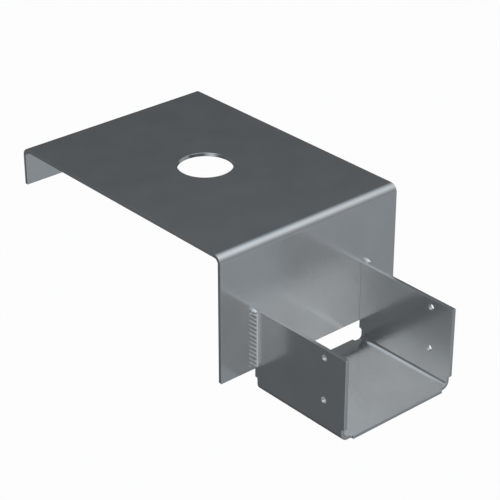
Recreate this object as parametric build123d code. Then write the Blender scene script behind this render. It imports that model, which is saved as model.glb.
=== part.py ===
from build123d import *
import math
import os

# Girder hanger for the top of a concrete or masonry wall. Sizes are in millimetres.
# The origin is on the axis of the anchor hole, at the underside of the top plate,
# which bears on the wall. +X points out of the wall along the girder and +Z is up.

# Sheet steel and the saddle that sits over the wall
sheet_thickness = 2.66
hanger_width = 152.4
wall_thickness = 203.2
wall_clearance = 1.6
rear_lip_drop = 25.4
front_plate_drop = 88.9
saddle_bend_radius = 3.2
anchor_hole_diameter = 38.1

# Stirrup that carries the end of the girder
girder_width = 88.9
girder_clearance = 1.6
seat_drop = 101.6
seat_length = 82.9
leg_height = 57.15
stirrup_bend_radius = 2.7

# Relief notches at both ends of each stirrup bend
relief_depth = 2.2
relief_up_leg = 4.2
relief_along_seat = 3.0
relief_corner_radius = 1.0

# Nail holes near the front edge of each leg
nail_hole_diameter = 4.4
nail_edge_distance = 18.7
nail_top_distance = 6.1
nail_spacing = 30.5
nails_per_leg = 2

# Fillet welds, laid downwards in the corner of each leg and the front plate
weld_reach_on_plate = 5.6
weld_reach_on_leg = 3.0
weld_hollow = 0.15
weld_root_depth = 0.8
weld_start_margin = 0.4
weld_end_margin = 3.0
ripple_pitch = 3.05
ripple_height = 0.6
ripple_middle_share = 0.5
ripple_toe_height = 0.15
ripple_climb_angle = 50.0
ripple_lean_angle = 40.0
ripple_unevenness = 0.08
ripple_phase = 2.4
ripple_strips = 4
core_margin = 0.2
toe_strip_proud = 0.6
toe_strip_slope = 1.2
toe_strip_width = 0.9
start_slant = 2.2
start_mound_reach = 4.3
start_mound_radius = 1.8
start_mound_out = 2.0
start_mound_below = 0.1
start_mound_tip_angle = 6.0

# Places that follow from the sizes above
rear_lip_x = -wall_thickness / 2
front_inside_x = wall_thickness / 2 + wall_clearance
front_face_x = front_inside_x + sheet_thickness
pocket_width = girder_width + girder_clearance
leg_face_y = pocket_width / 2 + sheet_thickness
leg_top_z = leg_height - seat_drop
plate_bottom_z = -front_plate_drop
ripple_climb = math.tan(math.radians(ripple_climb_angle))
ripple_lean = math.tan(math.radians(ripple_lean_angle))
weld_face_length = math.hypot(weld_reach_on_plate, weld_reach_on_leg)
ripple_rise = ripple_climb * weld_hollow + ripple_lean * weld_face_length


def folded_sheet(inside_line, plane, bend_radius, outer_side):
    """Section of a sheet folded round the outside of a line drawn on a plane."""
    inside = FilletPolyline(*inside_line, radius=bend_radius)
    outline = inside.wire().offset_2d(sheet_thickness, side=outer_side, closed=True)
    return plane * make_face(outline)


def saddle_plate():
    """Top plate with its anchor hole, rear lip and front plate, from one sheet."""
    inside_line = [
        (rear_lip_x, -rear_lip_drop),
        (rear_lip_x, 0),
        (front_inside_x, 0),
        (front_inside_x, plate_bottom_z),
    ]
    section = folded_sheet(inside_line, Plane.XZ, saddle_bend_radius, Side.LEFT)
    plate = extrude(section, amount=hanger_width / 2, both=True)
    hole = Cylinder(anchor_hole_diameter / 2, 3 * sheet_thickness)
    return plate - hole


def relief_notch(x_edge, side_y):
    """Block that cuts one relief notch, with the two inner corners rounded."""
    bend_height = stirrup_bend_radius + relief_up_leg
    bend_width = stirrup_bend_radius + relief_along_seat
    block = Box(
        2 * relief_depth,
        bend_width + 2 * sheet_thickness,
        bend_height + 2 * sheet_thickness,
        align=(Align.CENTER, Align.MIN, Align.MAX),
    )
    up_leg = block.edges().filter_by(Axis.Y).group_by(Axis.Z)[-1]
    along_seat = block.edges().filter_by(Axis.Z).group_by(Axis.Y)[0]
    block = fillet(up_leg + along_seat, relief_corner_radius)
    if side_y < 0:
        block = block.mirror(Plane.XZ)
    corner_y = pocket_width / 2 - bend_width
    corner_z = -seat_drop + bend_height
    return Pos(x_edge, side_y * corner_y, corner_z) * block


def nail_holes():
    """Pins that cut the nail holes through both legs."""
    nail_x = front_face_x + seat_length - nail_edge_distance
    pin_length = 2 * leg_face_y + sheet_thickness
    pin = Cylinder(nail_hole_diameter / 2, pin_length, rotation=(90, 0, 0))
    top_z = leg_top_z - nail_top_distance
    return [Pos(nail_x, 0, top_z - row * nail_spacing) * pin for row in range(nails_per_leg)]


def girder_stirrup():
    """U of two legs and the seat, folded from one sheet, butted to the front plate."""
    inside_line = [
        (-pocket_width / 2, leg_top_z),
        (-pocket_width / 2, -seat_drop),
        (pocket_width / 2, -seat_drop),
        (pocket_width / 2, leg_top_z),
    ]
    section = folded_sheet(inside_line, Plane.YZ, stirrup_bend_radius, Side.RIGHT)
    stirrup = Pos(front_face_x, 0, 0) * extrude(section, amount=seat_length)
    for x_edge in (front_face_x, front_face_x + seat_length):
        for side_y in (-1, 1):
            stirrup -= relief_notch(x_edge, side_y)
    for pin in nail_holes():
        stirrup -= pin
    return stirrup


def bead_section(toe_z, dip, plate_dip, climb=0.0, lean=0.0):
    """Cross-section of a bead on a sloping plane, with its toe on the leg at toe_z.

    The corner is at x = 0 and y = 0, with x out along the leg and y out along the plate.
    The face lies deeper by dip at the leg, part of it in the middle, and plate_dip at the plate.
    The plane rises by climb outwards and by lean towards the toe on the plate.
    """
    on_plate = weld_reach_on_plate - plate_dip
    on_leg = weld_reach_on_leg - dip
    face_length = math.hypot(on_plate, on_leg)
    out_x = on_plate / face_length
    out_y = on_leg / face_length

    def raised(x, y):
        outwards = (x - on_leg) * out_x + y * out_y
        across = (on_leg - x) * out_y + y * out_x
        return Vector(x, y, toe_z + climb * outwards + lean * across)

    depth = weld_hollow + ripple_middle_share * dip
    middle = raised(on_leg / 2 - depth * out_x, on_plate / 2 - depth * out_y)
    root = -weld_root_depth
    outline = [
        ThreePointArc(raised(on_leg, 0), middle, raised(0, on_plate)),
        Polyline(raised(0, on_plate), raised(root, on_plate), raised(root, root)),
        Polyline(raised(root, root), raised(on_leg, root), raised(on_leg, 0)),
    ]
    return make_face(outline)


def toe_strip(length):
    """Smooth edge of a bead along the leg, standing a little proud of the ripples."""
    toe_x = weld_reach_on_leg + toe_strip_proud
    root = -weld_root_depth
    outline = [
        (root, root),
        (toe_x, root),
        (toe_x, 0),
        (toe_x - toe_strip_slope, toe_strip_width),
        (root, toe_strip_width),
    ]
    return extrude(make_face(Polyline(*outline, close=True)), amount=length)


def ripple_edges(start_z, end_z):
    """Heights of the troughs between ripples, at the toe on the leg, from the top down."""
    count = max(1, round((start_z - end_z) / ripple_pitch))
    pitch = (start_z - end_z) / count
    edges = [start_z]
    for index in range(1, count):
        shift = ripple_unevenness * pitch * math.sin(index * ripple_phase)
        edges.append(start_z - index * pitch + shift)
    return edges + [end_z]


def ripple(top_z, bottom_z):
    """One ripple: a slanted slice of the bead that swells between two troughs."""
    slices = []
    for step in range(ripple_strips + 1):
        share = step / ripple_strips
        hollow = 1 - math.sin(math.pi * share)
        toe_z = top_z + (bottom_z - top_z) * share
        dips = (hollow * ripple_height, hollow * ripple_toe_height)
        slices.append(bead_section(toe_z, *dips, climb=ripple_climb, lean=ripple_lean))
    return loft(slices, ruled=True)


def start_mound():
    """Rounded top end of a bead: half a spheroid, long along the leg, with a tiny flat tip."""
    tip_angle = start_mound_tip_angle
    radii = (start_mound_reach, start_mound_radius)
    side = EllipticalCenterArc((0, 0), *radii, start_angle=tip_angle, arc_size=90 - tip_angle)
    tip, widest = side @ 0, side @ 1
    closing_lines = Polyline(widest, (0, 0), (tip.X, 0), tip)
    return revolve(make_face([side, closing_lines]), axis=Axis.X)


def bead_run_space(start_z, end_z):
    """Block that holds the rippled length of a bead, with its top corner cut at a slant."""
    outline = [
        (-hanger_width, end_z),
        (hanger_width, end_z),
        (hanger_width, start_z - start_slant),
        (weld_reach_on_plate, start_z - start_slant),
        (start_mound_out, start_z),
        (-hanger_width, start_z),
    ]
    face = Plane.YZ * make_face(Polyline(*outline, close=True))
    return extrude(face, amount=hanger_width, both=True)


def weld_bead(side_y, neighbours):
    """Rippled fillet weld with a smooth toe on the leg and a round start at the top."""
    start_z = leg_top_z - weld_start_margin
    end_z = plate_bottom_z + weld_end_margin
    run_length = start_z - end_z
    core_section = bead_section(end_z, ripple_height + core_margin, ripple_toe_height + core_margin)

    bead = extrude(core_section, amount=run_length)
    edges = ripple_edges(start_z, end_z - ripple_rise)
    for top_z, bottom_z in zip(edges, edges[1:]):
        bead += ripple(top_z, bottom_z)
    bead = bead & bead_run_space(start_z, end_z)
    bead += Pos(0, 0, end_z) * toe_strip(run_length)
    bead += Pos(0, start_mound_out, leg_top_z - start_mound_below) * start_mound()

    bead = Pos(front_face_x, leg_face_y, 0) * bead
    if side_y < 0:
        bead = bead.mirror(Plane.XZ)
    for neighbour in neighbours:
        bead -= neighbour
    return bead


def build_parts():
    saddle = saddle_plate()
    stirrup = girder_stirrup()
    return {
        "saddle_plate": saddle,
        "girder_stirrup": stirrup,
        "left_weld_bead": weld_bead(-1, [saddle, stirrup]),
        "right_weld_bead": weld_bead(1, [saddle, stirrup]),
    }


os.makedirs("parts", exist_ok=True)
for name, solid in build_parts().items():
    export_step(solid, f"parts/{name}.step")
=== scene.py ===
import math

import bpy
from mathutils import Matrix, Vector


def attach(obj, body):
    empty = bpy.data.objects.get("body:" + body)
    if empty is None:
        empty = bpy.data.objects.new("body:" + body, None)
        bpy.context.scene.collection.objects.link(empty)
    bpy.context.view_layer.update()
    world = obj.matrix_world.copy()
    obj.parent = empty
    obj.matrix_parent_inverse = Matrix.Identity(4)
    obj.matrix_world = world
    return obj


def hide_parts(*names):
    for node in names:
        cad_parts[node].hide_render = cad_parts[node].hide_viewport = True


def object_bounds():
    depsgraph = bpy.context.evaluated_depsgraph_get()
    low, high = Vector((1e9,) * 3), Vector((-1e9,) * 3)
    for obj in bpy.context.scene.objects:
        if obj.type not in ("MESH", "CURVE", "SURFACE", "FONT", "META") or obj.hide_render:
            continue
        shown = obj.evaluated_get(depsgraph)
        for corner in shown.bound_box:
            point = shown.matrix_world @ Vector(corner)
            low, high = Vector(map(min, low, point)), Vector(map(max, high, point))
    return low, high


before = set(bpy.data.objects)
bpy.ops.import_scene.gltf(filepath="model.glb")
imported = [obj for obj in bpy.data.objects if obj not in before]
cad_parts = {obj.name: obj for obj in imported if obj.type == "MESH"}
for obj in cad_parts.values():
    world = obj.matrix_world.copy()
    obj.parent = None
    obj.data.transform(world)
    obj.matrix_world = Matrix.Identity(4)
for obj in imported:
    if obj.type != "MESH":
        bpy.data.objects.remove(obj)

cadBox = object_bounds()
print("frame loaded, box", cadBox)


# Small helpers for selecting and finishing meshes

def deselectAll():
    bpy.ops.object.select_all(action="DESELECT")


def makeActive(piece):
    deselectAll()
    piece.select_set(True)
    bpy.context.view_layer.objects.active = piece


def copyOfNode(nodeName, pieceName, mergeDistance):
    piece = bpy.data.objects.new(pieceName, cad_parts[nodeName].data.copy())
    bpy.context.scene.collection.objects.link(piece)
    piece.data.materials.clear()
    makeActive(piece)
    bpy.ops.mesh.customdata_custom_splitnormals_clear()
    bpy.ops.object.mode_set(mode="EDIT")
    bpy.ops.mesh.select_all(action="SELECT")
    bpy.ops.mesh.remove_doubles(threshold=mergeDistance)
    bpy.ops.object.mode_set(mode="OBJECT")
    return piece


def applyModifiers(piece):
    makeActive(piece)
    for modifier in list(piece.modifiers):
        bpy.ops.object.modifier_apply(modifier=modifier.name)


# Camera, at the photograph's place and angle

viewOfPhoto = {
    "target": (0.04730, -0.00130, -0.04263),
    "azimuth": 48.9955,      # degrees, 0 looks along +Y
    "elevation": 28.4619,
    "distance": 1.18719,
    "focalPixels": 1779.77,  # focal length in pixels of the 500 px wide picture
    "pictureWidth": 500,
    "sensorWidth": 36.0,
    "clipStart": 0.01,
    "clipEnd": 50.0,
}


def makeCamera(values):
    azimuth = math.radians(values["azimuth"])
    elevation = math.radians(values["elevation"])
    backwards = Vector((
        math.sin(azimuth) * math.cos(elevation),
        -math.cos(azimuth) * math.cos(elevation),
        math.sin(elevation),
    ))
    lens = bpy.data.cameras.new("photoCamera")
    lens.sensor_fit = "HORIZONTAL"
    lens.sensor_width = values["sensorWidth"]
    lens.lens = values["focalPixels"] * values["sensorWidth"] / values["pictureWidth"]
    lens.clip_start = values["clipStart"]
    lens.clip_end = values["clipEnd"]
    camera = bpy.data.objects.new("photoCamera", lens)
    bpy.context.scene.collection.objects.link(camera)
    camera.location = Vector(values["target"]) + backwards * values["distance"]
    camera.rotation_euler = backwards.to_track_quat("Z", "Y").to_euler()
    bpy.context.scene.camera = camera


makeCamera(viewOfPhoto)
print("camera placed")


# Surroundings: a white backdrop, and wide soft lights that the steel mirrors

surroundings = {
    "backdrop": (1.0, 1.0, 1.0, 1.0),
    "backdropInSteel": 0.030,    # how much of the white backdrop the steel mirrors
    "lights": (
        {
            "name": "overheadLight",
            "towards": (0.22, 0.02, 0.97),
            "tightness": 3.6,    # a higher value makes the light smaller
            "colour": (0.99, 1.12, 1.22, 1.0),
        },
        {
            "name": "upperRightLight",
            "towards": (0.45, 0.60, 0.65),
            "tightness": 7.0,
            "colour": (0.26, 0.25, 0.24, 1.0),
        },
        {
            "name": "cameraLight",
            "towards": (0.66, -0.58, 0.48),
            "tightness": 8.0,
            "colour": (0.22, 0.21, 0.19, 1.0),
        },
        {
            "name": "cameraSideLight",
            "towards": (0.32, -0.91, 0.27),
            "tightness": 12.0,
            "colour": (1.00, 1.02, 1.02, 1.0),
        },
        {
            "name": "rightSideLight",
            "towards": (0.25, 0.95, -0.20),
            "tightness": 14.0,
            "colour": (0.42, 0.41, 0.40, 1.0),
        },
        {
            "name": "frontLight",
            "towards": (0.95, 0.00, -0.32),
            "tightness": 6.5,
            "colour": (0.44, 0.46, 0.47, 1.0),
        },
        {
            "name": "rightFrontLight",
            "towards": (0.66, 0.58, -0.48),
            "tightness": 8.0,
            "colour": (0.12, 0.14, 0.16, 1.0),
        },
        {
            "name": "lowLeftLight",
            "towards": (0.37, -0.80, -0.48),
            "tightness": 18.0,
            "colour": (0.50, 0.54, 0.57, 1.0),
        },
        {
            "name": "lowRearLight",
            "towards": (-0.66, -0.58, -0.48),
            "tightness": 6.0,
            "colour": (0.09, 0.10, 0.11, 1.0),
        },
        {
            "name": "rearLight",
            "towards": (-1.00, 0.00, 0.00),
            "tightness": 20.0,
            "colour": (0.50, 0.53, 0.55, 1.0),
        },
        {
            "name": "lightFromBelow",
            "towards": (0.00, 0.00, -1.00),
            "tightness": 14.0,
            "colour": (0.40, 0.42, 0.44, 1.0),
        },
    ),
}


def makeGlowGroup():
    group = bpy.data.node_groups.new("softGlow", "ShaderNodeTree")
    face = group.interface
    face.new_socket("Direction", in_out="INPUT", socket_type="NodeSocketVector")
    face.new_socket("Towards", in_out="INPUT", socket_type="NodeSocketVector")
    face.new_socket("Tightness", in_out="INPUT", socket_type="NodeSocketFloat")
    face.new_socket("Colour", in_out="INPUT", socket_type="NodeSocketColor")
    face.new_socket("Colour", in_out="OUTPUT", socket_type="NodeSocketColor")
    nodes = group.nodes
    links = group.links
    given = nodes.new("NodeGroupInput")
    result = nodes.new("NodeGroupOutput")
    middle = nodes.new("ShaderNodeVectorMath")
    middle.operation = "NORMALIZE"
    links.new(given.outputs["Towards"], middle.inputs[0])
    facing = nodes.new("ShaderNodeVectorMath")
    facing.operation = "DOT_PRODUCT"
    links.new(given.outputs["Direction"], facing.inputs[0])
    links.new(middle.outputs["Vector"], facing.inputs[1])
    away = nodes.new("ShaderNodeMath")
    away.operation = "SUBTRACT"
    away.inputs[1].default_value = 1.0
    links.new(facing.outputs["Value"], away.inputs[0])
    tight = nodes.new("ShaderNodeMath")
    tight.operation = "MULTIPLY"
    links.new(away.outputs["Value"], tight.inputs[0])
    links.new(given.outputs["Tightness"], tight.inputs[1])
    fall = nodes.new("ShaderNodeMath")
    fall.operation = "EXPONENT"
    links.new(tight.outputs["Value"], fall.inputs[0])
    glow = nodes.new("ShaderNodeVectorMath")
    glow.operation = "SCALE"
    links.new(given.outputs["Colour"], glow.inputs[0])
    links.new(fall.outputs["Value"], glow.inputs["Scale"])
    links.new(glow.outputs["Vector"], result.inputs["Colour"])
    return group


def makeSurroundings(values):
    glowGroup = makeGlowGroup()
    world = bpy.data.worlds.new("studio")
    bpy.context.scene.world = world
    world.use_nodes = True
    nodes = world.node_tree.nodes
    links = world.node_tree.links
    nodes.clear()
    direction = nodes.new("ShaderNodeTexCoord")
    total = None
    for light in values["lights"]:
        glow = nodes.new("ShaderNodeGroup")
        glow.name = light["name"]
        glow.node_tree = glowGroup
        glow.inputs["Towards"].default_value = light["towards"]
        glow.inputs["Tightness"].default_value = light["tightness"]
        glow.inputs["Colour"].default_value = light["colour"]
        links.new(direction.outputs["Generated"], glow.inputs["Direction"])
        if total is None:
            total = glow.outputs["Colour"]
        else:
            together = nodes.new("ShaderNodeVectorMath")
            together.operation = "ADD"
            links.new(total, together.inputs[0])
            links.new(glow.outputs["Colour"], together.inputs[1])
            total = together.outputs["Vector"]
    seen = nodes.new("ShaderNodeLightPath")
    inSteelOrGlass = nodes.new("ShaderNodeMath")
    inSteelOrGlass.operation = "ADD"
    links.new(seen.outputs["Is Glossy Ray"], inSteelOrGlass.inputs[0])
    links.new(seen.outputs["Is Transmission Ray"], inSteelOrGlass.inputs[1])
    share = nodes.new("ShaderNodeMath")
    share.operation = "MULTIPLY_ADD"
    share.use_clamp = True
    share.inputs[1].default_value = values["backdropInSteel"]
    links.new(inSteelOrGlass.outputs["Value"], share.inputs[0])
    links.new(seen.outputs["Is Camera Ray"], share.inputs[2])
    choose = nodes.new("ShaderNodeMix")
    choose.data_type = "RGBA"
    choose.inputs["B"].default_value = values["backdrop"]
    links.new(share.outputs["Value"], choose.inputs["Factor"])
    links.new(total, choose.inputs["A"])
    background = nodes.new("ShaderNodeBackground")
    output = nodes.new("ShaderNodeOutputWorld")
    links.new(choose.outputs["Result"], background.inputs["Color"])
    links.new(background.outputs["Background"], output.inputs["Surface"])


makeSurroundings(surroundings)

studioFloor = {
    "below": 0.42,        # how far it lies under the hanger, which is made to hang on a wall
    "size": 9.0,
    "colour": (0.62, 0.63, 0.64, 1.0),
    "white": (1.0, 1.0, 1.0, 1.0),
    "whiteForCamera": 0.97,   # the rest is lit paint, which keeps the hanger's shadow
}


def makeFloor(values):
    deselectAll()
    lowest = cadBox[0][2]
    bpy.ops.mesh.primitive_plane_add(size=values["size"], location=(0, 0, lowest - values["below"]))
    floor = bpy.context.active_object
    floor.name = "studioFloor"
    material = bpy.data.materials.new("floorPaint")
    material.use_nodes = True
    nodes = material.node_tree.nodes
    links = material.node_tree.links
    nodes.clear()
    paint = nodes.new("ShaderNodeBsdfDiffuse")
    paint.inputs["Color"].default_value = values["colour"]
    white = nodes.new("ShaderNodeEmission")
    white.inputs["Color"].default_value = values["white"]
    seen = nodes.new("ShaderNodeLightPath")
    share = nodes.new("ShaderNodeMath")
    share.operation = "MULTIPLY"
    share.inputs[1].default_value = values["whiteForCamera"]
    links.new(seen.outputs["Is Camera Ray"], share.inputs[0])
    mix = nodes.new("ShaderNodeMixShader")
    links.new(share.outputs["Value"], mix.inputs["Fac"])
    links.new(paint.outputs["BSDF"], mix.inputs[1])
    links.new(white.outputs["Emission"], mix.inputs[2])
    output = nodes.new("ShaderNodeOutputMaterial")
    links.new(mix.outputs["Shader"], output.inputs["Surface"])
    floor.data.materials.append(material)
    floor.visible_glossy = False


makeFloor(studioFloor)
print("studio ready")


# Finish shared by all the steel: cloudy patches, fine speckle and a low relief

finishNoise = {
    "patchDetail": 4.0,
    "patchRoughness": 0.55,
    "speckleDetail": 2.0,
    "speckleRoughness": 0.6,
}


def makeSteelFinishGroup(values):
    group = bpy.data.node_groups.new("steelFinish", "ShaderNodeTree")
    face = group.interface
    for socketName, socketType, value in (
        ("Colour", "NodeSocketColor", (0.5, 0.5, 0.5, 1.0)),
        ("Patch Size", "NodeSocketFloat", 0.03),
        ("Patch Depth", "NodeSocketFloat", 0.1),
        ("Speckle Size", "NodeSocketFloat", 0.001),
        ("Speckle Depth", "NodeSocketFloat", 0.05),
        ("Roughness", "NodeSocketFloat", 0.3),
        ("Roughness Spread", "NodeSocketFloat", 0.05),
    ):
        socket = face.new_socket(socketName, in_out="INPUT", socket_type=socketType)
        socket.default_value = value
    face.new_socket("Colour", in_out="OUTPUT", socket_type="NodeSocketColor")
    face.new_socket("Roughness", in_out="OUTPUT", socket_type="NodeSocketFloat")
    face.new_socket("Height", in_out="OUTPUT", socket_type="NodeSocketFloat")
    nodes = group.nodes
    links = group.links
    given = nodes.new("NodeGroupInput")
    result = nodes.new("NodeGroupOutput")
    place = nodes.new("ShaderNodeTexCoord")

    def scaleFrom(sizeName):
        scale = nodes.new("ShaderNodeMath")
        scale.operation = "DIVIDE"
        scale.inputs[0].default_value = 1.0
        links.new(given.outputs[sizeName], scale.inputs[1])
        return scale.outputs["Value"]

    def noiseAt(sizeName, detail, roughness):
        noise = nodes.new("ShaderNodeTexNoise")
        noise.inputs["Detail"].default_value = detail
        noise.inputs["Roughness"].default_value = roughness
        links.new(place.outputs["Object"], noise.inputs["Vector"])
        links.new(scaleFrom(sizeName), noise.inputs["Scale"])
        return noise.outputs["Fac"]

    def around(signal, depthName, middle):
        centred = nodes.new("ShaderNodeMath")
        centred.operation = "SUBTRACT"
        centred.inputs[1].default_value = 0.5
        links.new(signal, centred.inputs[0])
        scaled = nodes.new("ShaderNodeMath")
        scaled.operation = "MULTIPLY_ADD"
        scaled.inputs[2].default_value = middle
        links.new(centred.outputs["Value"], scaled.inputs[0])
        links.new(given.outputs[depthName], scaled.inputs[1])
        return scaled.outputs["Value"]

    patches = noiseAt("Patch Size", values["patchDetail"], values["patchRoughness"])
    speckle = noiseAt("Speckle Size", values["speckleDetail"], values["speckleRoughness"])
    patchGain = around(patches, "Patch Depth", 1.0)
    speckleGain = around(speckle, "Speckle Depth", 1.0)
    gain = nodes.new("ShaderNodeMath")
    gain.operation = "MULTIPLY"
    links.new(patchGain, gain.inputs[0])
    links.new(speckleGain, gain.inputs[1])
    shaded = nodes.new("ShaderNodeVectorMath")
    shaded.operation = "SCALE"
    links.new(given.outputs["Colour"], shaded.inputs[0])
    links.new(gain.outputs["Value"], shaded.inputs["Scale"])
    links.new(shaded.outputs["Vector"], result.inputs["Colour"])
    roughShift = around(patches, "Roughness Spread", 0.0)
    rough = nodes.new("ShaderNodeMath")
    rough.operation = "ADD"
    links.new(given.outputs["Roughness"], rough.inputs[0])
    links.new(roughShift, rough.inputs[1])
    links.new(rough.outputs["Value"], result.inputs["Roughness"])
    links.new(speckle, result.inputs["Height"])
    return group


steelFinish = makeSteelFinishGroup(finishNoise)


def makeSteel(materialName, values):
    material = bpy.data.materials.new(materialName)
    material.use_nodes = True
    nodes = material.node_tree.nodes
    links = material.node_tree.links
    shader = nodes["Principled BSDF"]
    shader.inputs["Metallic"].default_value = 1.0
    finish = nodes.new("ShaderNodeGroup")
    finish.node_tree = steelFinish
    for socketName, value in values["finish"].items():
        finish.inputs[socketName].default_value = value
    links.new(finish.outputs["Colour"], shader.inputs["Base Color"])
    links.new(finish.outputs["Roughness"], shader.inputs["Roughness"])
    bump = nodes.new("ShaderNodeBump")
    bump.inputs["Strength"].default_value = values["bumpStrength"]
    bump.inputs["Distance"].default_value = values["bumpDistance"]
    links.new(finish.outputs["Height"], bump.inputs["Height"])
    links.new(bump.outputs["Normal"], shader.inputs["Normal"])
    return material


sheetSteel = {
    "finish": {
        "Colour": (0.745, 0.750, 0.755, 1.0),
        "Patch Size": 0.030,
        "Patch Depth": 0.20,
        "Speckle Size": 0.0006,
        "Speckle Depth": 0.03,
        "Roughness": 0.19,
        "Roughness Spread": 0.05,
    },
    "bumpStrength": 0.03,
    "bumpDistance": 0.0002,
}

weldSteel = {
    "finish": {
        "Colour": (0.750, 0.760, 0.775, 1.0),
        "Patch Size": 0.004,
        "Patch Depth": 0.18,
        "Speckle Size": 0.0004,
        "Speckle Depth": 0.12,
        "Roughness": 0.22,
        "Roughness Spread": 0.20,
    },
    "bumpStrength": 0.15,
    "bumpDistance": 0.0002,
}

steelOfSaddle = makeSteel("saddleSteel", sheetSteel)
steelOfStirrup = makeSteel("stirrupSteel", sheetSteel)
steelOfWelds = makeSteel("weldMetal", weldSteel)
print("materials made")


# Folded sheets: the sheared edges are eased a little, as a press and shear leave them

foldedSheets = {
    "pieces": (
        ("saddle_plate", "saddlePlate", "saddle_steel", steelOfSaddle),
        ("girder_stirrup", "girderStirrup", "stirrup_steel", steelOfStirrup),
    ),
    "mergeDistance": 0.000005,
    "flatWithin": 0.5,       # degrees between facets that are one flat face
    "edgeEase": 0.00022,
    "edgeSteps": 2,
    "sharpFrom": 40.0,       # degrees between faces that make an edge
    "smoothUpTo": 50.0,
    "flatWeight": 100,       # large flat faces set the shading beside the eased edges
}


def makeFoldedSheet(nodeName, pieceName, steel, values):
    piece = copyOfNode(nodeName, pieceName, values["mergeDistance"])
    makeActive(piece)
    bpy.ops.object.mode_set(mode="EDIT")
    bpy.ops.mesh.select_all(action="SELECT")
    bpy.ops.mesh.dissolve_limited(angle_limit=math.radians(values["flatWithin"]))
    bpy.ops.mesh.select_all(action="DESELECT")
    bpy.ops.object.mode_set(mode="OBJECT")
    ease = piece.modifiers.new("easedEdges", "BEVEL")
    ease.width = values["edgeEase"]
    ease.segments = values["edgeSteps"]
    ease.limit_method = "ANGLE"
    ease.angle_limit = math.radians(values["sharpFrom"])
    ease.use_clamp_overlap = True
    applyModifiers(piece)
    bpy.ops.object.shade_smooth_by_angle(angle=math.radians(values["smoothUpTo"]))
    flats = piece.modifiers.new("flatFaces", "WEIGHTED_NORMAL")
    flats.keep_sharp = True
    flats.mode = "FACE_AREA"
    flats.weight = values["flatWeight"]
    applyModifiers(piece)
    piece.data.materials.append(steel)
    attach(piece, "root")
    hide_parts(nodeName)
    return piece


for nodeName, pieceName, slotName, steel in foldedSheets["pieces"]:
    made = makeFoldedSheet(nodeName, pieceName, steel, foldedSheets)
    print(pieceName, "made,", len(made.data.polygons), "faces")


# Weld beads: the ripples flow into each other, and fade towards the toe on the front plate

weldBeads = {
    "pieces": (
        ("left_weld_bead", "leftWeldBead"),
        ("right_weld_bead", "rightWeldBead"),
    ),
    "mergeDistance": 0.000002,
    "grain": 0.00014,        # size of the mesh's squares
    "smoothing": 0.5,
    "smoothingTurns": 4,
    "legFace": 0.04791,      # how far the legs' outer faces are from the middle
    "fadeFrom": 0.0012,      # the ripples get weaker from here, away from the leg
    "fadeOver": 0.0040,
    "fadeTurns": 24,
}


def fadeRipples(piece, values):
    fading = piece.vertex_groups.new(name="awayFromLeg")
    for vertex in piece.data.vertices:
        away = abs(vertex.co.y) - values["legFace"] - values["fadeFrom"]
        share = min(max(away / values["fadeOver"], 0.0), 1.0)
        fading.add([vertex.index], share, "REPLACE")
    fade = piece.modifiers.new("fadingRipples", "SMOOTH")
    fade.vertex_group = fading.name
    fade.factor = values["smoothing"]
    fade.iterations = values["fadeTurns"]
    applyModifiers(piece)
    piece.vertex_groups.clear()


def makeWeldBead(nodeName, pieceName, values):
    piece = copyOfNode(nodeName, pieceName, values["mergeDistance"])
    remesh = piece.modifiers.new("evenMesh", "REMESH")
    remesh.mode = "VOXEL"
    remesh.voxel_size = values["grain"]
    smooth = piece.modifiers.new("flowing", "SMOOTH")
    smooth.factor = values["smoothing"]
    smooth.iterations = values["smoothingTurns"]
    applyModifiers(piece)
    fadeRipples(piece, values)
    bpy.ops.object.shade_smooth()
    piece.data.materials.append(steelOfWelds)
    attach(piece, "root")
    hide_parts(nodeName)
    return piece


for nodeName, pieceName in weldBeads["pieces"]:
    made = makeWeldBead(nodeName, pieceName, weldBeads)
    print(pieceName, "made,", len(made.data.polygons), "faces")


# Standard view transform for the render

bpy.context.scene.view_settings.view_transform = "Standard"
